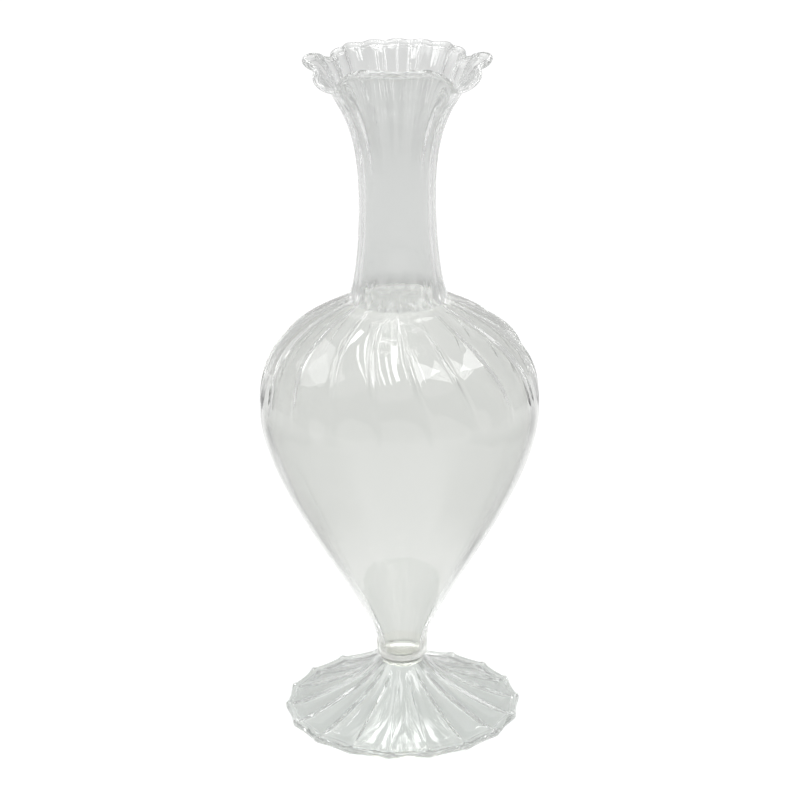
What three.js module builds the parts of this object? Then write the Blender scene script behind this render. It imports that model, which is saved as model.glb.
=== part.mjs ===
// A glass urn vase: a blown, ribbed vessel with a tall neck and a crimped lip, fused to a fluted
// spread foot. Each mesh is one section of glass as the maker worked it, from the foot's rolled
// edge up to the fire-polished lip.
// Millimetres, +Z up, origin at the centre of the face that the foot rests on. Angles run from the
// front (-Y) towards the right (+X).
import * as THREE from "three";

// Heights of the sections, from the resting face up
const FOOT_HEIGHT = 19.2;
const SEAL_HEIGHT = 1.2;
const BASE_HEIGHT = 5.5;
const BOWL_HEIGHT = 84.9; // bowl floor to the widest point
const SHOULDER_HEIGHT = 37.3; // widest point to the crease under the neck
const WAIST_HEIGHT = 33.5; // crease to the narrowest point of the neck
const THROAT_HEIGHT = 29; // narrowest point of the neck to the root of the lip
const LIP_HEIGHT = 15.6; // root of the lip to the edge that carries the bead

// Outer radii, over the ribs
const FOOT_RADIUS = 40.4;
const SEAL_RADIUS = 7.6;
const STEM_RADIUS = 8.7;
const BELLY_RADIUS = 46.65;
const CREASE_RADIUS = 16.6;
const NECK_RADIUS = 12.62;
const LIP_ROOT_RADIUS = 17.6;
const LIP_RADIUS = 24.4; // at the front and back, halfway between its waves

// Glass thicknesses
const WALL = 1.8;
const CREASE_WALL = 2.1;
const FOOT_WALL = 2.1;
const CENTRE_THICKNESS = 3.4; // of the foot, under the seal
const FLOOR_DISH = 0.9; // how far the bowl's floor dips at its centre
const BASE_ROUND = 1.1; // rounding of the bowl's base where it meets the seal

// Curves of the outline: how far each stretch runs on along its end direction
const STEM_RUN = 13.2;
const LOWER_BELLY_RUN = 28.2;
const UPPER_BELLY_RUN = 24;
const SHOULDER_RUN = 18.3;
const SHOULDER_RISE = 0.5; // rise of the shoulder for each millimetre inward, at the crease
const NECK_FOOT_RUN = 6.9;
const NECK_FOOT_LEAN = 0.43; // inward lean of the neck for each millimetre up, at the crease
const WAIST_RUN = 12.9;
const THROAT_RUN = 14;
const FLARE_RUN = 8;
const FLARE_LEAN = 0.48; // outward lean of the neck for each millimetre up, at the lip's root
const LIP_ROOT_RUN = 5;
const LIP_RUN = 5;
const LIP_LEAN = 0.6; // outward lean of the lip for each millimetre up, at its edge
const FOOT_TOP_RUN = 7.5;
const FOOT_TOP_FALL = 1.4; // fall of the foot for each millimetre outward, at the seal
const FOOT_EDGE_RUN = 13;
const FOOT_EDGE_FALL = 0.35; // fall of the foot for each millimetre outward, at its edge

// Ribs of the vessel: narrow crests with broad shallow flutes between them
const RIBS = 18;
const RIB_PHASE = 12; // degrees from the front to the nearest crest, below the shoulder
const TWIST = -13; // degrees by which the ribs have turned at the foot of the neck
const TWIST_BELOW = 34; // the ribs start to turn this far below the crease
const TWIST_ABOVE = 11; // and stop this far above it
const STEM_RIB = 0.2;
const BELLY_RIB = 0.35;
const SHOULDER_RIB = 0.8;
const CREASE_RIB = 0.7;
const NECK_RIB = 0.4;
const SHOULDER_RIB_DROP = 12; // the ribs stand highest this far below the crease
const INSIDE_SHARE = 0.5; // how much of a rib shows on the inside of the wall

// Flutes of the foot
const FOOT_PHASE = 13;
const FOOT_SCALLOP = 1; // how far the edge is drawn in between two tips
const FLUTE_DEPTH = 1;
const FLUTE_FADE = 9; // width over which the flutes die out at the seal and at the edge
const UNDERSIDE_SHARE = 0.6; // how much of a flute shows under the foot

// Waves along the lip, one to a rib
const WAVE_REACH = 0.9;
const WAVE_RISE = 0.2;
const WAVE_ROUNDNESS = 0.14;
const SHAPING_ONSET = 1.5; // power of the height above its root at which the lip's shaping grows

// Hand shaping of the lip, alike on both sides: degrees from the front, spread of the push in
// degrees, and how far it goes out and up
const SIDE_PETAL = { place: 73, spread: 20, out: 4, up: -0.3 };
const PETAL_TIP = { place: 86, spread: 7, out: 0.3, up: 1.2 };
const FRONT_DROOP = { place: 51.5, spread: 13, out: 0.5, up: -6.4 };
const BACK_DRAW = { place: 109, spread: 13, out: -1.4, up: -1.7 };
const LIP_SKEW = -1.8; // degrees by which the two sides sit round from true
const LIP_SHIFT = 0.5; // how far the lip's edge sits to the right of the axis

// Beads, how deep each is flattened, and the gap that parts it from the sheet it finishes
const FOOT_BEAD_RADIUS = 1.4;
const FOOT_BEAD_FLAT = 0.25; // where it rests
const FOOT_BEAD_CUT = 0.35; // where it meets the foot's sheet
const LIP_BEAD_RADIUS = 1.4;
const LIP_BEAD_CUT = 0.8; // where it meets the lip's edge
const FUSE_GAP = 0.3;

// Facets: steps along each stretch of the outline, on the outside and on the inside
const STEPS = {
  lowerBowl: [7, 5],
  shoulder: [6, 5],
  waist: [3, 3],
  throat: [3, 3],
  lip: [4, 4],
  footTop: [5, 4],
};
const BASE_ROUND_STEPS = 2;
const FOOT_BEAD_STEPS = 4;
const LIP_BEAD_STEPS = 5;

// Levels worked out from the heights
const sealBottom = FOOT_HEIGHT;
const sealTop = sealBottom + SEAL_HEIGHT;
const floorLevel = sealTop + BASE_HEIGHT;
const bellyLevel = floorLevel + BOWL_HEIGHT;
const creaseLevel = bellyLevel + SHOULDER_HEIGHT;
const waistLevel = creaseLevel + WAIST_HEIGHT;
const lipRoot = waistLevel + THROAT_HEIGHT;
const lipEdge = lipRoot + LIP_HEIGHT;

const pitch = (2 * Math.PI) / RIBS;
const radians = THREE.MathUtils.degToRad;
const point = (r, z) => new THREE.Vector2(r, z);

// A curve of the outline from one point to another, leaving and arriving along two directions.
function stretch(from, leaving, runOut, to, arriving, runIn) {
  const first = from.clone().addScaledVector(leaving.clone().normalize(), runOut);
  const last = to.clone().addScaledVector(arriving.clone().normalize(), -runIn);
  return new THREE.CubicBezierCurve(from, first, last, to);
}

// The points of a stretch, and those of the same stretch moved inward by a thickness of glass.
const outside = (name) => outline[name].getPoints(STEPS[name][0]);
function inside(name, thickness) {
  const steps = STEPS[name][1];
  return outline[name].getPoints(steps).map((p, i) => {
    const along = outline[name].getTangent(i / steps);
    return point(p.x - along.y * thickness, p.y + along.x * thickness);
  });
}

// Ribs: 1 on a crest, 0 in the middle of a flute, with a narrow crest. The turn is in radians from
// the crest of a rib.
const crest = (turn) => 1 - Math.abs(Math.sin((RIBS * turn) / 2));

// A value that runs smoothly through the given levels.
function through(z, stops) {
  const after = stops.findIndex(([level]) => z <= level);
  if (after === 0) return stops[0][1];
  if (after < 0) return stops[stops.length - 1][1];
  const [z0, v0] = stops[after - 1];
  const [z1, v1] = stops[after];
  return v0 + (v1 - v0) * THREE.MathUtils.smoothstep(z, z0, z1);
}

function ribHeight(z) {
  return through(z, [
    [sealTop, STEM_RIB],
    [bellyLevel, BELLY_RIB],
    [creaseLevel - SHOULDER_RIB_DROP, SHOULDER_RIB],
    [creaseLevel, CREASE_RIB],
    [waistLevel, NECK_RIB],
    [lipRoot, NECK_RIB],
  ]);
}

// How much of a push reaches an angle from the front: all of it at its place on either side.
function share(push, angle) {
  const fromFront = Math.abs(Math.atan2(Math.sin(angle), Math.cos(angle)));
  return Math.exp(-(((fromFront - radians(push.place)) / radians(push.spread)) ** 2));
}

// How far the lip's edge is moved out and up: by its waves, by the hand shaping and by its shift.
function lipShaping(turn, angle) {
  const wave = Math.cos(RIBS * turn) - WAVE_ROUNDNESS * Math.cos(2 * RIBS * turn);
  const shaping = { out: WAVE_REACH * wave + LIP_SHIFT * Math.sin(angle), up: WAVE_RISE * wave };
  for (const push of [SIDE_PETAL, PETAL_TIP, FRONT_DROOP, BACK_DRAW]) {
    const reached = share(push, angle - radians(LIP_SKEW));
    shaping.out += push.out * reached;
    shaping.up += push.up * reached;
  }
  return shaping;
}

// Each shape takes a point of a section, and how far round from the crest of a rib it lies, and
// gives back where the point goes: its radius, its level and its angle from the front.
function vesselShape(r, z, turn, isInside) {
  const twist = through(z, [
    [creaseLevel - TWIST_BELOW, 0],
    [creaseLevel + TWIST_ABOVE, TWIST],
  ]);
  const angle = turn + radians(RIB_PHASE + twist);
  const shaped = Math.max(0, (z - lipRoot) / LIP_HEIGHT) ** SHAPING_ONSET;
  const side = isInside ? INSIDE_SHARE : 1;
  const flute = ribHeight(z) * side * Math.max(0, 1 - shaped) * (1 - crest(turn));
  const { out, up: lift } = lipShaping(turn, angle);
  return [r - flute + shaped * out, z + shaped * lift, angle];
}

// The foot's sheet sinks between its ridges, and its edge is drawn in between two tips.
function footShape(r, z, turn, isInside) {
  const hollow = 1 - crest(turn);
  const side = isInside ? UNDERSIDE_SHARE : 1;
  const rise = THREE.MathUtils.smoothstep(r, SEAL_RADIUS, SEAL_RADIUS + FLUTE_FADE);
  const fade = 1 - THREE.MathUtils.smoothstep(r, footSheetEdge - FLUTE_FADE, footSheetEdge);
  const scallop = FOOT_SCALLOP * (r / FOOT_RADIUS) ** 2;
  const level = z - FLUTE_DEPTH * side * hollow * rise * fade;
  return [r - scallop * hollow, level, turn + radians(FOOT_PHASE)];
}

const plainShape = (r, z, turn) => [r, z, turn];

// Marks the points of a section that lie on the inner side of the glass.
const inner = (points) => points.map((p) => Object.assign(p, { isInside: true }));

// Spins a section round the axis and moves each of its points by a shape. A section that doesn't
// touch the axis closes on itself. The columns are shares of the pitch of one rib.
function spun(section, columns, shape) {
  const outline = section[0].x === 0 ? section : [...section, section[0]];
  const geometry = new THREE.LatheGeometry(outline, RIBS * columns.length);
  const position = geometry.getAttribute("position");
  for (let i = 0; i < position.count; i++) {
    const column = Math.floor(i / outline.length);
    const rib = Math.floor(column / columns.length);
    const turn = (rib + columns[column % columns.length]) * pitch;
    const { x: r, y: z, isInside } = outline[i % outline.length];
    const [reach, level, angle] = r === 0 ? [0, z, 0] : shape(r, z, turn, isInside);
    position.setXYZ(i, reach * Math.sin(angle), level, reach * Math.cos(angle));
  }
  return geometry.rotateX(Math.PI / 2);
}

// The points of a round section from one angle to another, and the angle that a flat cut to a
// given depth takes up on each side of its middle.
function roundPoints(centre, radius, start, end, steps) {
  return Array.from({ length: steps + 1 }, (unused, i) => {
    const angle = start + (i / steps) * (end - start);
    return point(centre.x + radius * Math.cos(angle), centre.y + radius * Math.sin(angle));
  });
}
const cutAngle = (radius, depth) => Math.acos(1 - depth / radius);

// Columns of one rib, as shares of its pitch: close together by the crest, or evenly spaced
const RIB_COLUMNS = [0, 0.18, 0.5, 0.82];
const LOBE_COLUMNS = [0, 0.14, 0.27, 0.39, 0.5, 0.61, 0.73, 0.86];
const ROUND_COLUMNS = [0, 0.5];

// The foot's sheet ends at an upright face, and its bead lies just outside that face
const footBeadCentre = point(FOOT_RADIUS - FOOT_BEAD_RADIUS, FOOT_BEAD_RADIUS - FOOT_BEAD_FLAT);
const footSheetEdge = footBeadCentre.x - FOOT_BEAD_RADIUS + FOOT_BEAD_CUT - FUSE_GAP;
const footEdgeTop = footBeadCentre.y + FOOT_WALL / 2;

const up = point(0, 1);
const outline = {
  lowerBowl: stretch(point(STEM_RADIUS, floorLevel), up, STEM_RUN,
    point(BELLY_RADIUS, bellyLevel), up, LOWER_BELLY_RUN),
  shoulder: stretch(point(BELLY_RADIUS, bellyLevel), up, UPPER_BELLY_RUN,
    point(CREASE_RADIUS, creaseLevel), point(-1, SHOULDER_RISE), SHOULDER_RUN),
  waist: stretch(point(CREASE_RADIUS, creaseLevel), point(-NECK_FOOT_LEAN, 1), NECK_FOOT_RUN,
    point(NECK_RADIUS, waistLevel), up, WAIST_RUN),
  throat: stretch(point(NECK_RADIUS, waistLevel), up, THROAT_RUN,
    point(LIP_ROOT_RADIUS, lipRoot), point(FLARE_LEAN, 1), FLARE_RUN),
  lip: stretch(point(LIP_ROOT_RADIUS, lipRoot), point(FLARE_LEAN, 1), LIP_ROOT_RUN,
    point(LIP_RADIUS, lipEdge), point(LIP_LEAN, 1), LIP_RUN),
  footTop: stretch(point(SEAL_RADIUS, sealBottom), point(1, -FOOT_TOP_FALL), FOOT_TOP_RUN,
    point(footSheetEdge, footEdgeTop), point(1, -FOOT_EDGE_FALL), FOOT_EDGE_RUN),
};

function footGeometry() {
  const centre = sealBottom - CENTRE_THICKNESS;
  const section = [
    ...inner([point(0, centre), point(SEAL_RADIUS, centre)]),
    ...inner(inside("footTop", -FOOT_WALL).slice(1, -1)),
    point(footSheetEdge, footEdgeTop - FOOT_WALL),
    ...outside("footTop").reverse(),
    point(0, sealBottom),
  ];
  return spun(section, RIB_COLUMNS, footShape);
}

// The foot's bead is flat where it rests and where it meets the sheet, and round elsewhere.
function footBeadGeometry() {
  const towardsSheet = Math.PI;
  const down = 1.5 * Math.PI;
  const sheetSide = cutAngle(FOOT_BEAD_RADIUS, FOOT_BEAD_CUT);
  const restSide = cutAngle(FOOT_BEAD_RADIUS, FOOT_BEAD_FLAT);
  const around = (start, end, steps) =>
    roundPoints(footBeadCentre, FOOT_BEAD_RADIUS, start, end, steps);
  const section = [
    ...around(towardsSheet + sheetSide, down - restSide, 1),
    ...around(down + restSide, 2 * Math.PI + towardsSheet - sheetSide, FOOT_BEAD_STEPS),
  ];
  return spun(section, RIB_COLUMNS, footShape);
}

function sealGeometry() {
  const edge = SEAL_HEIGHT / 2;
  const section = [
    point(0, sealBottom),
    point(SEAL_RADIUS - edge, sealBottom),
    point(SEAL_RADIUS, sealBottom + edge),
    point(SEAL_RADIUS - edge, sealTop),
    point(0, sealTop),
  ];
  return spun(section, ROUND_COLUMNS, plainShape);
}

function baseGeometry() {
  const floorRadius = STEM_RADIUS - WALL;
  const roundCentre = point(STEM_RADIUS - BASE_ROUND, sealTop + BASE_ROUND);
  const floor = (share) =>
    point(floorRadius * share, floorLevel - FLOOR_DISH * (1 - share * share));
  const section = [
    point(0, sealTop),
    ...roundPoints(roundCentre, BASE_ROUND, -Math.PI / 2, 0, BASE_ROUND_STEPS),
    point(STEM_RADIUS, floorLevel),
    ...inner([floor(1), floor(0.5), floor(0)]),
  ];
  return spun(section, RIB_COLUMNS, vesselShape);
}

// A wall of the vessel between two level faces: up the outside and down the inside.
function wallGeometry(outerSide, innerSide, columns) {
  return spun([...outerSide, ...inner(innerSide).reverse()], columns, vesselShape);
}

const creaseInside = () => point(CREASE_RADIUS - CREASE_WALL, creaseLevel);
const lipRootInside = () => point(LIP_ROOT_RADIUS - WALL, lipRoot);

function bowlGeometry() {
  const outerSide = [...outside("lowerBowl"), ...outside("shoulder").slice(1)];
  const innerSide = [
    ...inside("lowerBowl", WALL),
    ...inside("shoulder", WALL).slice(1),
    creaseInside(),
  ];
  return wallGeometry(outerSide, innerSide, RIB_COLUMNS);
}

function neckGeometry() {
  const outerSide = [...outside("waist"), ...outside("throat").slice(1)];
  const innerSide = [
    creaseInside(),
    ...inside("waist", WALL).slice(1),
    ...inside("throat", WALL).slice(1, -1),
    lipRootInside(),
  ];
  return wallGeometry(outerSide, innerSide, RIB_COLUMNS);
}

function lipGeometry() {
  const innerSide = [lipRootInside(), ...inside("lip", WALL).slice(1)];
  return wallGeometry(outside("lip"), innerSide, LOBE_COLUMNS);
}

function lipBeadGeometry() {
  const along = outline.lip.getTangent(1);
  const edgeMiddle = point(LIP_RADIUS - (along.y * WALL) / 2, lipEdge + (along.x * WALL) / 2);
  const reach = FUSE_GAP + LIP_BEAD_RADIUS - LIP_BEAD_CUT;
  const centre = edgeMiddle.clone().addScaledVector(along, reach);
  const towardsLip = Math.atan2(-along.y, -along.x);
  const lipSide = cutAngle(LIP_BEAD_RADIUS, LIP_BEAD_CUT);
  const end = 2 * Math.PI + towardsLip - lipSide;
  const section = roundPoints(centre, LIP_BEAD_RADIUS, towardsLip + lipSide, end, LIP_BEAD_STEPS);
  return spun(section, LOBE_COLUMNS, vesselShape);
}

// Clear soda-lime glass, with the faint grey-green that its thicker parts show
function glass(colour, roughness) {
  const material = new THREE.MeshStandardMaterial({ color: colour, roughness, metalness: 0 });
  material.transparent = true;
  material.opacity = 0.35;
  return material;
}

const group = new THREE.Group();
function add(name, geometry, material) {
  const mesh = new THREE.Mesh(geometry, material);
  mesh.name = name;
  group.add(mesh);
}

add("foot", footGeometry(), glass("#d9e0de", 0.06));
add("foot_edge_bead", footBeadGeometry(), glass("#dfe3e3", 0.04));
add("foot_seal", sealGeometry(), glass("#a9aeac", 0.05));
add("bowl_base", baseGeometry(), glass("#dde0dc", 0.05));
add("bowl", bowlGeometry(), glass("#e3e8e5", 0.03));
add("neck", neckGeometry(), glass("#d6d9da", 0.03));
add("lip", lipGeometry(), glass("#dcdfe0", 0.03));
add("lip_bead", lipBeadGeometry(), glass("#e9ebe4", 0.03));

export default group;
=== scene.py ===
"""A clear glass urn vase with optic ribs, on a white studio floor.

The sections of glass are spun and shaped round the levels that model.glb gives: foot, edge bead,
seal, base, bowl, neck, lip and lip bead. Lengths are in millimetres until a mesh is made.
"""

from collections import namedtuple
from math import acos, asin, atan2, cos, exp, hypot, pi, radians, sin, sqrt

import bpy
from mathutils import Matrix, Vector, noise


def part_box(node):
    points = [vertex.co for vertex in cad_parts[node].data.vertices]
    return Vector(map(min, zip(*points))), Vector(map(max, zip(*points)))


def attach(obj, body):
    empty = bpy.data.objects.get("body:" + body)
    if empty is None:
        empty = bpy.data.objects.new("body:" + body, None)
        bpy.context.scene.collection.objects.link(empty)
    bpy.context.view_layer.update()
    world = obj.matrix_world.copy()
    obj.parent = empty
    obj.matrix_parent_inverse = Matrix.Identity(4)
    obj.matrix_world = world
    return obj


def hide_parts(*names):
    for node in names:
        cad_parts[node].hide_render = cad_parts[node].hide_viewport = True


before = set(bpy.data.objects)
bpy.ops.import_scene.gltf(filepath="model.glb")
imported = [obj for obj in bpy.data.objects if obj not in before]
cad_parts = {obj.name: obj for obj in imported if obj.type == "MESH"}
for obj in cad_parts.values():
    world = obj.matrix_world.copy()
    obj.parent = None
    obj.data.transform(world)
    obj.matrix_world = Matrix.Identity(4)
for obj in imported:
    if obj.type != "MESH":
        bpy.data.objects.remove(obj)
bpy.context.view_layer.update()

MM = 0.001


def levels(node):
    """The lowest and highest level of a CAD node, in millimetres."""
    low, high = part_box(node)
    return low.z / MM, high.z / MM


# Levels of the sections, from the resting face up
SHOULDER_HEIGHT = 37.3
THROAT_HEIGHT = 29
LIP_HEIGHT = 15.6
SEAL_BOTTOM, SEAL_TOP = levels("foot_seal")
FLOOR_LEVEL, CREASE_LEVEL = levels("bowl")
LIP_ROOT = levels("neck")[1]
BELLY_LEVEL = CREASE_LEVEL - SHOULDER_HEIGHT
WAIST_LEVEL = LIP_ROOT - THROAT_HEIGHT
LIP_EDGE = LIP_ROOT + LIP_HEIGHT

# Outer radii, over the ribs
FOOT_RADIUS = 40.4
SEAL_RADIUS = 7.6
STEM_RADIUS = 8.7
BELLY_RADIUS = 46.45
CREASE_RADIUS = 16.6
NECK_RADIUS = 12.62
LIP_ROOT_RADIUS = 17.6
LIP_RADIUS = 24.4

# Glass thicknesses
WALL = 1.8
FOOT_WALL = 2.1
BOTTOM_THICKNESS = 0.4
BASE_ROUND = 1.1

# Ribs of the vessel: how many, where the first one is and how far they turn, in degrees, how far
# they stand out at each level, and how much of that shows on the inside and stays at the lip's edge
RIBS = 18
RIB_PHASE = 12
TWIST = -13
STEM_RIB = 0.08
BELLY_RIB = 0.14
SHOULDER_RIB = 0.75
CREASE_RIB = 0.4
NECK_RIB = 0.12
LIP_RIB = 0.9
INSIDE_SHARE = 0.25
LIP_INSIDE_SHARE = 0.9
SHARE_AT_EDGE = 0.7

# Softness of the crests, from sharp to round
SHARP_CREST = 0.08
LIP_CREST = 0.3
ROUND_CREST = 1

# Narrow ridges along the crests: their heights, half their width, and how closely the columns of
# the mesh stand there
SHOULDER_RIDGE = 0.9
CREASE_RIDGE = 0.3
FOOT_RIDGE = 0.3
RIDGE_HALF_WIDTH = 0.8
BUNCHING = 0.75

# Levels at which the ribs, ridges and columns change
SHOULDER_RIB_LEVEL = CREASE_LEVEL - 14
NECK_RIB_LEVEL = CREASE_LEVEL + 7
ROUND_BELOW, SHARP_ABOVE = BELLY_LEVEL - 2, BELLY_LEVEL + 14
RIDGE_START, RIDGE_END = BELLY_LEVEL + 2, CREASE_LEVEL + 5
TWIST_START, TWIST_END = CREASE_LEVEL - 34, CREASE_LEVEL + 11
BUNCHED_BELOW, EVEN_ABOVE = CREASE_LEVEL - 6, CREASE_LEVEL + 6

# Flutes of the foot: where the first ridge is, in degrees, how far the edge is drawn in between two
# ridges, how deep the flutes are, how soon they fade at both ends, and their share underneath
FOOT_PHASE = 13
FOOT_SCALLOP = 1
FLUTE_DEPTH = 0.8
INNER_FADE = 7
OUTER_FADE = 4
UNDERSIDE_SHARE = 0.6

# Knots on the foot's bead, one at the end of each ridge: how far one rises, and goes out for that
KNOT_RISE = 0.45
KNOT_SLANT = 0.6
KNOT_SHARPNESS = 6

# Waves along the lip, one to a rib: how far they go out and up, how round their tips are, and how
# much calmer they get between two angles from the front, in degrees
WAVE_REACH = 0.9
WAVE_RISE = 0.2
WAVE_ROUNDNESS = 0.14
WAVE_CALM = 0.6
CALM_START, CALM_END = 75, 115

# The lip's shaping grows from its root to its edge by this power of the height
SHAPING_ONSET = 1.5

# Hand shaping of the lip, alike on both sides: where it is and how far it spreads, in degrees
# from the front, and how far it goes out and up
Push = namedtuple("Push", "place spread out up")
SIDE_PETAL = Push(73, 20, 4, -0.3)
PETAL_TIP = Push(86, 7, 0.3, 1.2)
FRONT_DROOP = Push(51.5, 13, 0.5, -6.4)
BACK_DRAW = Push(109, 13, -1.4, -1.7)

# How far that shaping is turned, in degrees, and how far the lip's edge is moved to the right
LIP_SKEW = -1.8
LIP_SHIFT = 0.5

# Beads: their radii, and how deep they are cut where they rest and where they join the sheet
FOOT_BEAD_RADIUS = 1.4
FOOT_BEAD_FLAT = 0.25
FOOT_BEAD_CUT = 0.35
LIP_BEAD_RADIUS = 1.4
LIP_BEAD_CUT = 0.8

# Unevenness of hand-worked glass: its depth and length, how much more it sinks than rises, how far
# apart the patterns of the two sides lie, and where it ends
UNEVEN = 0.05
UNEVEN_LENGTH = 16
UNEVEN_SINK = 0.35
INNER_PATTERN = 300
UNEVEN_END = LIP_ROOT + 8

# Meshes: their columns round the axis, the gap that welding closes, the margin in a comparison, and
# the sharpest edge that is shaded smooth, in degrees
COLUMNS = 20 * RIBS
LIP_COLUMNS = 24 * RIBS
SEAL_COLUMNS = 128
WELD = 0.0005
MARGIN = 0.01
SMOOTH_ANGLE = 40

# Length over which the tint of the glass wanders
TINT_PATCH = 30

# Floor, in metres. The camera sees its light lifted to white. Gloss and glass see a painted pool of
# light that fades with the distance from the vase, and painted dark patches on both sides. Gloss also
# sees painted darkness beyond the table's edge, standing in for a dark room
FLOOR_RADIUS = 3.0
FLOOR_LIFT = 0.5
PAINTED_POOL = [(0.1, 0.42), (0.243, 0.38), (0.245, 0.33), (0.3, 0.35), (0.45, 0.34), (0.8, 0.25)]
PAINTED_CARD_START, PAINTED_CARD_END = 0.5, 0.8
PAINTED_CARD_REACH = [(0.05, 0), (0.08, 1), (0.3, 1), (0.5, 0)]
PAINTED_CARD_SHARE = 0.8
PAINTED_CARD_DARKNESS = 0.42
PAINTED_TABLE_EDGE = 0.9

# Painted streaks of light on the table under the front of its foot, for the light that the vase
# gathers there: the round patch that holds them, in metres, their light, their length and number, and
# the values of the pattern between which one fades in
STREAKS_PLACE = (-0.001, -0.026, 0)
STREAKS_START, STREAKS_END = 0.008, 0.019
STREAKS_LIFT = 0.9
STREAK_LENGTH = 0.014
STREAKS_PER_RADIAN = 11
STREAK_SOFT, STREAK_FULL = 0.47, 0.6

# Brightness of the room by elevation in degrees, as gloss and glass see it
ROOM_IN_GLOSS = [(-90, 0.5), (-20, 0.36), (35, 0.34), (39, 0.9), (90, 1.0)]
ROOM_IN_GLASS = [(-90, 0.8), (-20, 0.76), (40, 0.7), (60, 0.9), (90, 1.0)]

# Height of the lamps under the ceiling, and height that the others aim at, in metres
CEILING = 2.1
AIM_HEIGHT = 0.12

# Camera, fitted to the photograph: its place, how far it looks down and leans in radians, and its
# focal length and picture in pixels
CAMERA_PLACE = (0.167, -785.65, 398.62)
CAMERA_DROP = 0.34931
CAMERA_LEAN = -0.0104
FOCAL_PIXELS = 2520.5
PICTURE_PIXELS = 800
SENSOR_WIDTH = 36

# A point of a section may lie on the inner side of the glass, or where a seam begins
Point = namedtuple("Point", "r z inner seam", defaults=(False, False))
LABELS = ("inner", "seam")


def stretch(start, leaving, run_out, end, arriving, run_in):
    """A curve between two (r, z) points, as a function of a share of its length.

    It leaves and arrives in the given directions. A longer run keeps to its direction further.
    """
    p0, p3 = Vector(start), Vector(end)
    p1 = p0 + Vector(leaving).normalized() * run_out
    p2 = p3 - Vector(arriving).normalized() * run_in

    def at(t):
        s = 1 - t
        place = s**3 * p0 + 3 * s * s * t * p1 + 3 * s * t * t * p2 + t**3 * p3
        along = s * s * (p1 - p0) + 2 * s * t * (p2 - p1) + t * t * (p3 - p2)
        return place, along.normalized()

    return at


# The outline of the vase, in stretches
UP = (0, 1)
LIP_LEAN = 0.48
flaring = (LIP_LEAN, 1)
foot_bead_r = FOOT_RADIUS - FOOT_BEAD_RADIUS
foot_bead_z = FOOT_BEAD_RADIUS - FOOT_BEAD_FLAT
foot_sheet_r = foot_bead_r - FOOT_BEAD_RADIUS + FOOT_BEAD_CUT
foot_sheet_z = foot_bead_z + FOOT_WALL / 2

foot_top = stretch((SEAL_RADIUS, SEAL_BOTTOM), (1, -1.4), 7.5, (foot_sheet_r, foot_sheet_z), (1, -0.35), 13)
lower_bowl = stretch((STEM_RADIUS, FLOOR_LEVEL), UP, 13.2, (BELLY_RADIUS, BELLY_LEVEL), UP, 28.2)
shoulder = stretch((BELLY_RADIUS, BELLY_LEVEL), UP, 24, (CREASE_RADIUS, CREASE_LEVEL), (-1, 0.5), 18.3)
waist = stretch((CREASE_RADIUS, CREASE_LEVEL), (-0.43, 1), 6.9, (NECK_RADIUS, WAIST_LEVEL), UP, 12.9)
throat = stretch((NECK_RADIUS, WAIST_LEVEL), UP, 14, (LIP_ROOT_RADIUS, LIP_ROOT), flaring, 8)
lip_curve = stretch((LIP_ROOT_RADIUS, LIP_ROOT), flaring, 6, (LIP_RADIUS, LIP_EDGE), (0.8, 1), 4.5)
round_bottom = stretch((0, SEAL_TOP + BOTTOM_THICKNESS), (1, 0), 6.3,
                       (STEM_RADIUS - WALL, FLOOR_LEVEL), UP, 4.4)


def outside(curve, steps):
    """Points along a curve of the outline, from its start to its end."""
    return [Point(*curve(i / steps)[0]) for i in range(steps + 1)]


def inside(curve, steps, wall):
    """Points along the same curve on the inner side of the glass."""
    points = []
    for i in range(steps + 1):
        place, along = curve(i / steps)
        points.append(Point(place.x - along.y * wall, place.y + along.x * wall, True))
    return points


def at_seam(point):
    return point._replace(seam=True)


def crest(turn, soft=SHARP_CREST):
    """1 on the crest of a rib and 0 in the middle of a flute. The crest is sharp or softened."""
    swing = sin(RIBS * turn / 2)
    return 1 - (sqrt(swing * swing + soft * soft) - soft) / (sqrt(1 + soft * soft) - soft)


def ridge(r, turn):
    """1 on the crest of a rib and 0 beside it: a ridge of one width in millimetres."""
    aside = r * abs(asin(sin(RIBS * turn / 2))) * 2 / RIBS
    return exp(-((aside / RIDGE_HALF_WIDTH) ** 2))


def bunched(turn, share):
    """Brings the columns of a mesh closer together at the crests."""
    return turn - share * sin(RIBS * turn) / RIBS


def smooth(x, low, high):
    """0 up to the low value, 1 from the high one on, and a smooth rise between them."""
    t = min(1, max(0, (x - low) / (high - low)))
    return t * t * (3 - 2 * t)


def through(z, stops):
    """A value that runs smoothly through the given levels."""
    if z <= stops[0][0]:
        return stops[0][1]
    for (z0, v0), (z1, v1) in zip(stops, stops[1:]):
        if z <= z1:
            return v0 + (v1 - v0) * smooth(z, z0, z1)
    return stops[-1][1]


def rib_height(z):
    return through(z, [
        (SEAL_TOP, STEM_RIB),
        (BELLY_LEVEL, BELLY_RIB),
        (SHOULDER_RIB_LEVEL, SHOULDER_RIB),
        (CREASE_LEVEL, CREASE_RIB),
        (NECK_RIB_LEVEL, NECK_RIB),
        (WAIST_LEVEL, NECK_RIB),
        (LIP_EDGE, LIP_RIB),
    ])


def crest_softness(z):
    return through(z, [
        (ROUND_BELOW, ROUND_CREST),
        (SHARP_ABOVE, SHARP_CREST),
        (CREASE_LEVEL, SHARP_CREST),
        (NECK_RIB_LEVEL, ROUND_CREST),
        (WAIST_LEVEL, ROUND_CREST),
        (LIP_ROOT, LIP_CREST),
    ])


def ridge_height(z):
    return through(z, [
        (RIDGE_START, 0),
        (SHOULDER_RIB_LEVEL, SHOULDER_RIDGE),
        (CREASE_LEVEL, CREASE_RIDGE),
        (RIDGE_END, 0),
    ])


def from_front(angle):
    """How far an angle is from the front, on either side."""
    return abs(atan2(sin(angle), cos(angle)))


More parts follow.
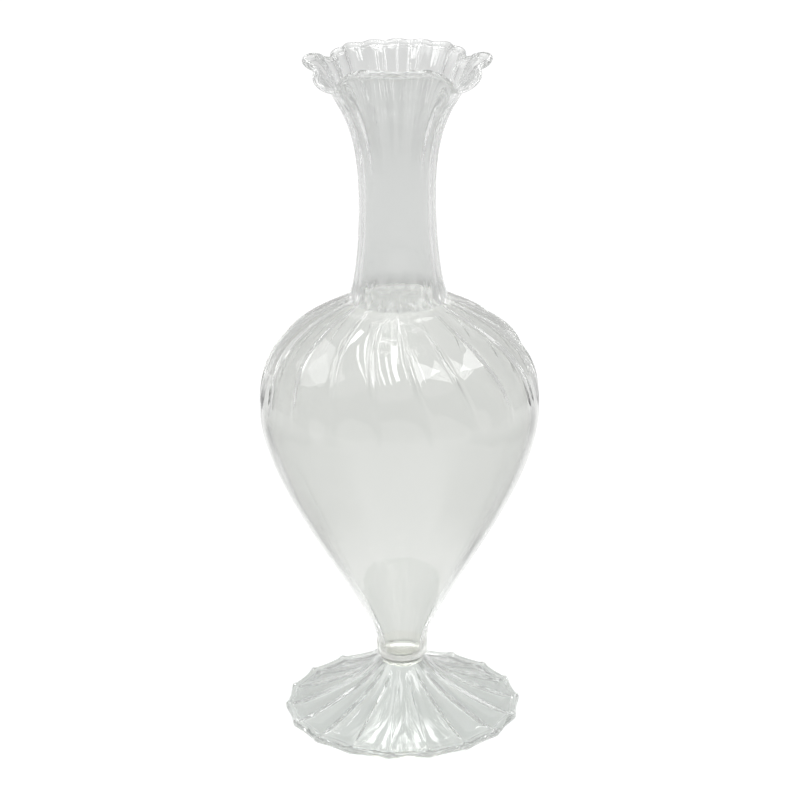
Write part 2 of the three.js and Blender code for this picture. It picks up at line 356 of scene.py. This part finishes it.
def reached(push, angle):
    """How much of a push reaches an angle: all of it at its place on either side."""
    return exp(-(((from_front(angle) - radians(push.place)) / radians(push.spread)) ** 2))


def lip_shaping(turn, angle):
    """How far the lip's edge goes out and up: by its waves, its hand shaping and its shift."""
    wave = cos(RIBS * turn) - WAVE_ROUNDNESS * cos(2 * RIBS * turn)
    wave *= 1 - WAVE_CALM * smooth(from_front(angle), radians(CALM_START), radians(CALM_END))
    out = WAVE_REACH * wave + LIP_SHIFT * sin(angle)
    up = WAVE_RISE * wave
    for push in (SIDE_PETAL, PETAL_TIP, FRONT_DROOP, BACK_DRAW):
        share = reached(push, angle - radians(LIP_SKEW))
        out += push.out * share
        up += push.up * share
    return out, up


def unevenness(r, z, angle, inner):
    """How far hand-worked glass stands out from its true form here."""
    place = Vector((r * sin(angle), r * cos(angle), z + INNER_PATTERN * inner)) / UNEVEN_LENGTH
    return UNEVEN * (noise.noise(place) - UNEVEN_SINK)


def vessel_shape(r, z, turn, inner):
    """Ribs that turn at the shoulder, and a lip that is crimped, pulled out and turned down."""
    turn = bunched(turn, through(z, [(BUNCHED_BELOW, BUNCHING), (EVEN_ABOVE, 0)]))
    twist = through(z, [(TWIST_START, 0), (TWIST_END, TWIST)])
    angle = turn + radians(RIB_PHASE + twist)
    shaped = max(0, (z - LIP_ROOT) / LIP_HEIGHT) ** SHAPING_ONSET
    inside_share = through(z, [(WAIST_LEVEL, INSIDE_SHARE), (LIP_ROOT, LIP_INSIDE_SHARE)])
    share = (inside_share if inner else 1) * max(SHARE_AT_EDGE, 1 - shaped)
    flute = rib_height(z) * share * (1 - crest(turn, crest_softness(z)))
    if not inner:
        flute += ridge_height(z) * (1 - ridge(r, turn))
    out, up = lip_shaping(turn, angle) if shaped else (0, 0)
    uneven = unevenness(r, z, angle, inner) if SEAL_TOP < z < UNEVEN_END else 0
    return r - flute + uneven + shaped * out, z + shaped * up, angle


def foot_shape(r, z, turn, inner):
    """The foot's sheet sinks between its ridges, and its edge is drawn in between two tips."""
    turn = bunched(turn, BUNCHING)
    hollow = 1 - crest(turn)
    share = UNDERSIDE_SHARE if inner else 1
    rise = smooth(r, SEAL_RADIUS, SEAL_RADIUS + INNER_FADE)
    fade = 1 - smooth(r, foot_sheet_r - OUTER_FADE, foot_sheet_r)
    scallop = FOOT_SCALLOP * (r / FOOT_RADIUS) ** 2
    sink = FLUTE_DEPTH * share * hollow + (0 if inner else FOOT_RIDGE * (1 - ridge(r, turn)))
    if r > foot_sheet_r + MARGIN and z > foot_bead_z:
        knot = KNOT_RISE * max(0, cos(RIBS * turn)) ** KNOT_SHARPNESS * (z - foot_bead_z) / FOOT_BEAD_RADIUS
        r, z = r + KNOT_SLANT * knot, z + knot
    return r - scallop * hollow, z - sink * rise * fade, turn + radians(FOOT_PHASE)


def plain_shape(r, z, turn, inner):
    return r, z, turn


def edit(piece):
    """Makes a piece the only selected one and opens it for editing, with all of it selected."""
    bpy.ops.object.select_all(action="DESELECT")
    piece.select_set(True)
    bpy.context.view_layer.objects.active = piece
    bpy.ops.object.mode_set(mode="EDIT")
    bpy.ops.mesh.select_all(action="SELECT")


def draw(name, outline):
    """Draws an outline, given from its start, as a row of edges in front of the axis."""
    bpy.ops.object.select_all(action="DESELECT")
    bpy.ops.mesh.primitive_plane_add(size=MM, location=(0, 0, 0))
    piece = bpy.context.object
    piece.name = piece.data.name = name
    edit(piece)
    bpy.ops.mesh.merge(type="CENTER")
    place = Vector((0, 0, 0))
    for i, point in enumerate(outline):
        step = Vector((0, -point.r * MM, point.z * MM)) - place
        if i == 0:
            bpy.ops.transform.translate(value=step)
        else:
            bpy.ops.mesh.extrude_region_move(TRANSFORM_OT_translate={"value": step})
        place += step
    bpy.ops.object.mode_set(mode="OBJECT")
    return piece


def turned(name, section, columns, shape, glass):
    """Draws a section of glass, spins it round the axis and shapes it into a closed piece."""
    outline = section if section[0].r == 0 else [*section, section[0]]
    piece = draw(name, outline)
    for label in LABELS:
        group = piece.vertex_groups.new(name=label)
        group.add([i for i, point in enumerate(outline) if getattr(point, label)], 1, "REPLACE")
    edit(piece)
    bpy.ops.mesh.spin(steps=columns, angle=2 * pi, center=(0, 0, 0), axis=(0, 0, 1))
    bpy.ops.mesh.select_all(action="SELECT")
    bpy.ops.mesh.remove_doubles(threshold=WELD * MM)
    bpy.ops.mesh.normals_make_consistent(inside=False)
    bpy.ops.object.mode_set(mode="OBJECT")
    if sum(face.area * face.normal.dot(face.center) for face in piece.data.polygons) < 0:
        piece.data.flip_normals()
    marks = [{LABELS[g.group] for g in vertex.groups} for vertex in piece.data.vertices]
    for vertex, mark in zip(piece.data.vertices, marks):
        x, y, z = vertex.co / MM
        r, z, angle = shape(hypot(x, y), z, atan2(x, -y), "inner" in mark)
        vertex.co = Vector((r * sin(angle), -r * cos(angle), z)) * MM
    for material in (glass, fused_seam):
        piece.data.materials.append(material)
    for face in piece.data.polygons:
        face.material_index = int(all("seam" in marks[v] for v in face.vertices))
    bpy.ops.object.shade_smooth_by_angle(angle=radians(SMOOTH_ANGLE))
    piece.vertex_groups.clear()
    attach(piece, "root")
    return piece


def srgb(code):
    """An sRGB hex colour as linear red, green and blue, with alpha 1."""
    values = [int(code[i : i + 2], 16) / 255 for i in (1, 3, 5)]
    return (*(v / 12.92 if v <= 0.04045 else ((v + 0.055) / 1.055) ** 2.4 for v in values), 1)


def add(tree, kind, settings=None, links=None):
    """Adds a node with its settings, by property or socket, and links inputs to sockets or nodes."""
    node = tree.nodes.new(kind)
    for name, value in (settings or {}).items():
        if isinstance(name, int) or name in node.inputs:
            node.inputs[name].default_value = value
        else:
            setattr(node, name, value)
    for name, source in (links or {}).items():
        output = source.outputs[0] if isinstance(source, bpy.types.Node) else source
        tree.links.new(output, node.inputs[name])
    return node


def with_greys(ramp, stops):
    """Gives a colour ramp its greys, each with its place between 0 and 1."""
    elements = ramp.color_ramp.elements
    while len(elements) < len(stops):
        elements.new(0.5)
    for element, (position, value) in zip(elements, stops):
        element.position = position
        element.color = (value, value, value, 1)
    return ramp


def blank(name):
    material = bpy.data.materials.new(name)
    material.use_nodes = True
    material.node_tree.nodes.clear()
    return material, material.node_tree


def clear_glass(name, pale, deep, roughness=0.0, ior=1.5):
    """Clear glass that bends light. Its tint wanders between two faint colours, as the thickness does."""
    material, tree = blank(name)
    place = add(tree, "ShaderNodeTexCoord").outputs["Object"]
    patches = add(tree, "ShaderNodeTexNoise", {"Scale": 1 / (TINT_PATCH * MM), "Detail": 1.0},
                  {"Vector": place})
    tint = add(tree, "ShaderNodeMix", {"data_type": "RGBA", 6: srgb(pale), 7: srgb(deep)},
               {0: patches.outputs["Fac"]})
    body = add(tree, "ShaderNodeBsdfPrincipled",
               {"IOR": ior, "Roughness": roughness, "Transmission Weight": 1.0},
               {"Base Color": tint.outputs[2]})
    path = add(tree, "ShaderNodeLightPath").outputs
    lets_lamps_by = add(tree, "ShaderNodeBsdfTransparent", {"Color": srgb("#F6F8F7")})
    mix = add(tree, "ShaderNodeMixShader", links={0: path["Is Shadow Ray"], 1: body, 2: lets_lamps_by})
    add(tree, "ShaderNodeOutputMaterial", links={"Surface": mix})
    return material


def make_fused_seam():
    """Where two gathers of glass have run together there is no surface, so nothing shows."""
    material, tree = blank("fused_glass_seam")
    add(tree, "ShaderNodeOutputMaterial", links={"Surface": add(tree, "ShaderNodeBsdfTransparent")})
    return material


fused_seam = make_fused_seam()

# Blown in a ribbed mould: a thin, fire-bright wall with a trace of grey where it is seen edge on
bowl_glass = clear_glass("blown_soda_lime_glass", "#EFF0EE", "#ECEDEB")

# Drawn out hot into neck and lip: as bright as the bowl, and a shade more neutral
neck_glass = clear_glass("drawn_soda_lime_glass", "#EFF0EF", "#ECEDEC")

# Pressed into flutes: thicker than the wall, and tinted greyer as painted shade of the dim table below it
foot_glass = clear_glass("pressed_glass_and_painted_shade", "#D9DBD9", "#D1D3D1")

# Fused in the flame: a thick little collar that holds back the light, so it shows as a dark ring
seal_glass = clear_glass("flame_fused_glass", "#8A8C88", "#7C7E7A")

# A solid lump under the hollow: a slightly dull surface that blurs what lies behind it
base_glass = clear_glass("solid_soda_lime_glass", "#F0F0EC", "#EBEBE7", roughness=0.25)

# Melted round in the flame: slightly hazy, with soft highlights, and tinted palest as a painted highlight
lip_glass = clear_glass("fire_polished_glass_and_painted_highlight", "#F4F5F4", "#EFF0EF", roughness=0.15)


def make_foot():
    top = outside(foot_top, 50)
    under = inside(foot_top, 44, -FOOT_WALL)
    centre = under[1].z
    ring_in_centre = under[1].r * 0.6
    section = [
        Point(0, centre, True),
        Point(ring_in_centre, centre, True),
        *under[1:-1],
        Point(foot_sheet_r, foot_sheet_z - FOOT_WALL, True, True),
        at_seam(top[-1]),
        *top[-2:0:-1],
        at_seam(top[0]),
        Point(0, SEAL_BOTTOM, False, True),
    ]
    return turned("foot_fluted", section, COLUMNS, foot_shape, foot_glass)


def round_points(r, z, radius, start, end, steps):
    """The points of a round section from one angle to another."""
    turns = [start + (end - start) * i / steps for i in range(steps + 1)]
    return [Point(r + radius * cos(a), z + radius * sin(a)) for a in turns]


def cut_angle(radius, depth):
    """Half the angle that a flat cut of some depth takes from a round section."""
    return acos(1 - depth / radius)


def make_foot_bead():
    sheet = cut_angle(FOOT_BEAD_RADIUS, FOOT_BEAD_CUT)
    rest = cut_angle(FOOT_BEAD_RADIUS, FOOT_BEAD_FLAT)
    below = round_points(foot_bead_r, foot_bead_z, FOOT_BEAD_RADIUS, pi + sheet, 1.5 * pi - rest, 5)
    above = round_points(foot_bead_r, foot_bead_z, FOOT_BEAD_RADIUS, 1.5 * pi + rest, 3 * pi - sheet, 20)
    section = [at_seam(below[0]), *below[1:], *above[:-1], at_seam(above[-1])]
    return turned("foot_rolled_edge", section, COLUMNS, foot_shape, foot_glass)


def make_seal():
    edge = (SEAL_TOP - SEAL_BOTTOM) / 2
    rim = round_points(SEAL_RADIUS - edge, SEAL_BOTTOM + edge, edge, -pi / 2, pi / 2, 12)
    section = [
        Point(0, SEAL_BOTTOM, False, True),
        at_seam(rim[0]),
        *rim[1:-1],
        at_seam(rim[-1]),
        Point(0, SEAL_TOP, False, True),
    ]
    return turned("foot_seal_ring", section, SEAL_COLUMNS, plain_shape, seal_glass)


def make_base():
    corner = round_points(STEM_RADIUS - BASE_ROUND, SEAL_TOP + BASE_ROUND, BASE_ROUND, -pi / 2, 0, 8)
    rise = FLOOR_LEVEL - SEAL_TOP - BASE_ROUND
    wall = corner + [Point(STEM_RADIUS, SEAL_TOP + BASE_ROUND + rise * i / 6) for i in range(1, 7)]
    dish = [Point(*round_bottom(1 - i / 20)[0], True) for i in range(21)]
    section = [
        Point(0, SEAL_TOP, False, True),
        at_seam(wall[0]),
        *wall[1:-1],
        at_seam(wall[-1]),
        at_seam(dish[0]),
        *dish[1:],
    ]
    return turned("bowl_base_solid", section, COLUMNS, vessel_shape, base_glass)


def walled(name, outer, inner, columns, glass):
    """A wall of the vessel between two seams: up the outside and down the inside."""
    inner = inner[::-1]
    section = [
        at_seam(outer[0]), *outer[1:-1], at_seam(outer[-1]),
        at_seam(inner[0]), *inner[1:-1], at_seam(inner[-1]),
    ]
    return turned(name, section, columns, vessel_shape, glass)


def heading(start, end):
    """The direction from one point to another."""
    return end.r - start.r, end.z - start.z


def share_at(curve, level):
    """The share of a rising curve's length at which it reaches a level."""
    low, high = 0, 1
    for _ in range(40):
        middle = (low + high) / 2
        low, high = (middle, high) if curve(middle)[0].y < level else (low, middle)
    return low


# Inside, the wall turns the crease in one soft bend, which takes the place of the last few points
# of the shoulder and the first few of the waist
BEND_RUN = 3.2
shoulder_inside = inside(shoulder, 48, WALL)[1:-4]
waist_inside = inside(waist, 28, WALL)[7:]
bend = stretch(shoulder_inside[-1][:2], heading(*shoulder_inside[-2:]), BEND_RUN,
               waist_inside[0][:2], heading(*waist_inside[:2]), BEND_RUN)
crease_share = share_at(bend, CREASE_LEVEL)


def bend_points(start, end, steps):
    """Points along the inner bend between two shares of its length."""
    return [Point(*bend(start + (end - start) * i / steps)[0], True) for i in range(steps + 1)]


root_inside = Point(LIP_ROOT_RADIUS - WALL * hypot(1, LIP_LEAN), LIP_ROOT, True)


def make_bowl():
    outer = outside(lower_bowl, 72) + outside(shoulder, 54)[1:]
    inner = inside(lower_bowl, 56, WALL) + shoulder_inside + bend_points(0, crease_share, 7)[1:]
    return walled("bowl_blown", outer, inner, COLUMNS, bowl_glass)


def make_neck():
    outer = outside(waist, 34) + outside(throat, 28)[1:]
    below = bend_points(crease_share, 1, 9)[:-1] + waist_inside
    above = inside(throat, 24, WALL)[1:-1] + [root_inside]
    return walled("neck_ribbed", outer, below + above, COLUMNS, neck_glass)


def make_lip():
    outer = outside(lip_curve, 26)
    inner = [root_inside] + inside(lip_curve, 22, WALL)[1:]
    return walled("lip_crimped", outer, inner, LIP_COLUMNS, neck_glass)


def make_lip_bead():
    place, along = lip_curve(1)
    middle = Vector((place.x - along.y * WALL / 2, place.y + along.x * WALL / 2))
    centre = middle + along * (LIP_BEAD_RADIUS - LIP_BEAD_CUT)
    towards_lip = atan2(-along.y, -along.x)
    cut = cut_angle(LIP_BEAD_RADIUS, LIP_BEAD_CUT)
    ring = round_points(*centre, LIP_BEAD_RADIUS, towards_lip + cut, towards_lip + 2 * pi - cut, 24)
    section = [at_seam(ring[0]), *ring[1:-1], at_seam(ring[-1])]
    return turned("lip_bead_polished", section, LIP_COLUMNS, vessel_shape, lip_glass)


PIECES = [
    (make_foot, "foot", "foot_glass"),
    (make_foot_bead, "foot_edge_bead", "foot_glass"),
    (make_seal, "foot_seal", "seal_glass"),
    (make_base, "bowl_base", "vessel_glass"),
    (make_bowl, "bowl", "vessel_glass"),
    (make_neck, "neck", "vessel_glass"),
    (make_lip, "lip", "vessel_glass"),
    (make_lip_bead, "lip_bead", "lip_glass"),
]
pieces = {}
for make, node, slot in PIECES:
    pieces[node] = piece = make()
    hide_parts(node)


def make_floor():
    """A matt white table top, white to the camera, with painted light and darkness for gloss and glass."""
    bpy.ops.object.select_all(action="DESELECT")
    bpy.ops.mesh.primitive_circle_add(vertices=96, radius=FLOOR_RADIUS, fill_type="NGON",
                                      location=(0, 0, 0))
    floor = bpy.context.object
    floor.name = "floor"
    material, tree = blank("matt_white_laminate_and_painted_light")
    floor.data.materials.append(material)

    place = add(tree, "ShaderNodeTexCoord").outputs["Object"]
    away = add(tree, "ShaderNodeVectorMath", {"operation": "LENGTH"}, {0: place}).outputs["Value"]
    split = add(tree, "ShaderNodeSeparateXYZ", links={0: place}).outputs
    path = add(tree, "ShaderNodeLightPath").outputs
    in_camera, shown, in_glass = (path[f"Is {kind} Ray"] for kind in ("Camera", "Glossy", "Transmission"))
    in_gloss = add(tree, "ShaderNodeMath", {"operation": "SUBTRACT"}, {0: shown, 1: in_glass})
    in_vase = add(tree, "ShaderNodeMath", {"operation": "MAXIMUM"}, {0: shown, 1: in_glass})

    # Painted streaks of light run out from the axis, within a round patch
    bearing = add(tree, "ShaderNodeMath", {"operation": "ARCTAN2"}, {0: split["X"], 1: split["Y"]})
    polar = add(tree, "ShaderNodeCombineXYZ", links={0: bearing, 1: away})
    rays = add(tree, "ShaderNodeVectorMath",
               {"operation": "MULTIPLY", 1: (STREAKS_PER_RADIAN, 1 / STREAK_LENGTH, 0)}, {0: polar})
    pattern = add(tree, "ShaderNodeTexNoise", {"Scale": 1.0, "Detail": 2.0}, {"Vector": rays})
    streaks = add(tree, "ShaderNodeMapRange", {"From Min": STREAK_SOFT, "From Max": STREAK_FULL},
                  {"Value": pattern.outputs["Fac"]})
    aside = add(tree, "ShaderNodeVectorMath", {"operation": "DISTANCE", 1: STREAKS_PLACE}, {0: place})
    patch = add(tree, "ShaderNodeMapRange",
                {"interpolation_type": "SMOOTHSTEP", "From Min": STREAKS_START, "From Max": STREAKS_END,
                 "To Min": STREAKS_LIFT, "To Max": 0.0}, {"Value": aside.outputs["Value"]})

    # The table: paint in the lamps' light, and light of its own: a lift to white for the camera,
    # and the painted pool and streaks of light for gloss and glass
    pool = with_greys(add(tree, "ShaderNodeValToRGB", links={0: away}), PAINTED_POOL)
    lit = add(tree, "ShaderNodeMath", {"operation": "MULTIPLY_ADD"}, {0: streaks, 1: patch, 2: pool})
    painted_light_seen = add(tree, "ShaderNodeMath", {"operation": "MULTIPLY"}, {0: lit, 1: in_vase})
    lift_and_painted_glow = add(tree, "ShaderNodeMath", {"operation": "MULTIPLY_ADD", 1: FLOOR_LIFT},
               {0: in_camera, 2: painted_light_seen})
    paint = add(tree, "ShaderNodeBsdfDiffuse", {"Color": srgb("#ABABAB")})
    lift = add(tree, "ShaderNodeEmission", {"Color": (1, 1, 1, 1)}, {"Strength": lift_and_painted_glow})
    table = add(tree, "ShaderNodeAddShader", links={0: paint, 1: lift})

    # Painted dark patches lie where the floor is more to a side than in front or behind
    across = add(tree, "ShaderNodeMath", {"operation": "ABSOLUTE"}, {0: split["X"]})
    sideways = add(tree, "ShaderNodeMath", {"operation": "DIVIDE"}, {0: across, 1: away})
    painted_card = add(tree, "ShaderNodeMapRange",
               {"interpolation_type": "SMOOTHSTEP", "From Min": PAINTED_CARD_START, "From Max": PAINTED_CARD_END,
                "To Max": PAINTED_CARD_SHARE}, {"Value": sideways})
    reach = with_greys(add(tree, "ShaderNodeValToRGB", links={0: away}), PAINTED_CARD_REACH)
    painted_cards = add(tree, "ShaderNodeMath", {"operation": "MULTIPLY"}, {0: painted_card, 1: reach})
    beside = add(tree, "ShaderNodeMath", {"operation": "MULTIPLY"}, {0: in_vase, 1: painted_cards})
    # Painted darkness beyond the table's edge, in gloss only, stands in for a dark room
    off_table = add(tree, "ShaderNodeMath", {"operation": "GREATER_THAN", 1: PAINTED_TABLE_EDGE}, {0: away})
    beyond = add(tree, "ShaderNodeMath", {"operation": "MULTIPLY"}, {0: in_gloss, 1: off_table})
    darkened = add(tree, "ShaderNodeMath", {"operation": "ADD"}, {0: beside, 1: beyond})
    dark = add(tree, "ShaderNodeEmission", {"Color": (PAINTED_CARD_DARKNESS, PAINTED_CARD_DARKNESS, PAINTED_CARD_DARKNESS, 1)})
    seen = add(tree, "ShaderNodeMixShader", links={0: darkened, 1: table, 2: dark})
    add(tree, "ShaderNodeOutputMaterial", links={"Surface": seen})


def by_elevation(stops):
    """Stops by elevation in degrees, as stops by height from 0 at the bottom to 1 at the top."""
    return [((sin(radians(elevation)) + 1) / 2, value) for elevation, value in stops]


def make_world():
    """A studio with dim walls and a pale ceiling, and white behind what the camera sees."""
    world = bpy.data.worlds.new("studio")
    bpy.context.scene.world = world
    world.use_nodes = True
    tree = world.node_tree
    tree.nodes.clear()
    direction = add(tree, "ShaderNodeTexCoord").outputs["Generated"]
    split = add(tree, "ShaderNodeSeparateXYZ", links={0: direction}).outputs
    height = add(tree, "ShaderNodeMapRange", {"From Min": -1.0, "From Max": 1.0}, {"Value": split["Z"]})
    in_gloss = with_greys(add(tree, "ShaderNodeValToRGB", links={0: height}), by_elevation(ROOM_IN_GLOSS))
    in_glass = with_greys(add(tree, "ShaderNodeValToRGB", links={0: height}), by_elevation(ROOM_IN_GLASS))
    path = add(tree, "ShaderNodeLightPath").outputs
    room = add(tree, "ShaderNodeMix", {"data_type": "RGBA"},
               {0: path["Is Transmission Ray"], 6: in_gloss, 7: in_glass})
    walls = add(tree, "ShaderNodeBackground", links={"Color": room.outputs[2]})
    white = add(tree, "ShaderNodeBackground", {"Color": (1, 1, 1, 1)})
    mix = add(tree, "ShaderNodeMixShader", links={0: path["Is Camera Ray"], 1: walls, 2: white})
    add(tree, "ShaderNodeOutputWorld", links={"Surface": mix})


def lamp(name, place, turn, width, length, radiance):
    """A flat lamp, by the radiance of its face."""
    data = bpy.data.lights.new(name, "AREA")
    data.shape = "RECTANGLE"
    data.size, data.size_y = width, length
    data.energy = radiance * pi * width * length
    holder = bpy.data.objects.new(name, data)
    bpy.context.scene.collection.objects.link(holder)
    holder.location = place
    holder.rotation_euler = turn
    return holder


def window(name, azimuth, elevation, distance, width, height, radiance):
    """A window or soft box that faces the vase. Azimuth 0 is the front."""
    a, e = radians(azimuth), radians(elevation)
    away = Vector((sin(a) * cos(e), -cos(a) * cos(e), sin(e))) * distance
    turn = (-away).to_track_quat("-Z", "Y").to_euler()
    return lamp(name, away + Vector((0, 0, AIM_HEIGHT)), turn, width, height, radiance)


def overhead(name, x, y, width, length, radiance, turn=0):
    """A lamp panel under the ceiling that faces down."""
    return lamp(name, (x, y, CEILING), (0, 0, radians(turn)), width, length, radiance)


def only_on(light, nodes):
    """Lets a lamp light only the pieces that stand for these nodes."""
    lit = bpy.data.collections.new(light.name + "_lights")
    for node in nodes:
        lit.objects.link(pieces[node])
    light.light_linking.receiver_collection = lit


def make_camera():
    data = bpy.data.cameras.new("camera")
    data.sensor_width = SENSOR_WIDTH
    data.lens = FOCAL_PIXELS * SENSOR_WIDTH / PICTURE_PIXELS
    data.clip_start = 0.01
    camera = bpy.data.objects.new("camera", data)
    bpy.context.scene.collection.objects.link(camera)
    turn = Matrix.Rotation(pi / 2 - CAMERA_DROP, 3, "X") @ Matrix.Rotation(CAMERA_LEAN, 3, "Z")
    camera.rotation_euler = turn.to_euler()
    camera.location = Vector(CAMERA_PLACE) * MM
    bpy.context.scene.camera = camera


make_floor()
make_world()
overhead("right_panel", x=1.45, y=-0.3, width=1.4, length=1.1, radiance=4.5)
window("left_softbox", azimuth=-100, elevation=40, distance=2.0, width=1.4, height=0.9, radiance=1.9)
for i in range(3):
    overhead(f"strip_{i + 1}", x=-0.7 + 0.22 * i, y=-0.25, width=0.07, length=2.1, radiance=10)
overhead("middle_panel", x=0.0, y=0.2, width=0.18, length=0.5, radiance=6)
overhead("slanting_strip", x=0.45, y=-0.5, width=0.05, length=1.5, radiance=6, turn=20)
for i in range(3):
    panel = window(f"lip_panel_{i + 1}", azimuth=-26 + 23 * i, elevation=46, distance=2.0,
                   width=0.16, height=1.7, radiance=7)
    only_on(panel, ["lip", "lip_bead"])
overhead("back_panel", x=0.0, y=1.15, width=0.8, length=0.6, radiance=8)
make_camera()
bpy.context.scene.view_settings.view_transform = "Standard"

# Light is led along inside glass walls by many reflections, and must not run out in them
bpy.context.scene.cycles.max_bounces = 128
bpy.context.scene.cycles.glossy_bounces = 96
bpy.context.scene.cycles.transmission_bounces = 96
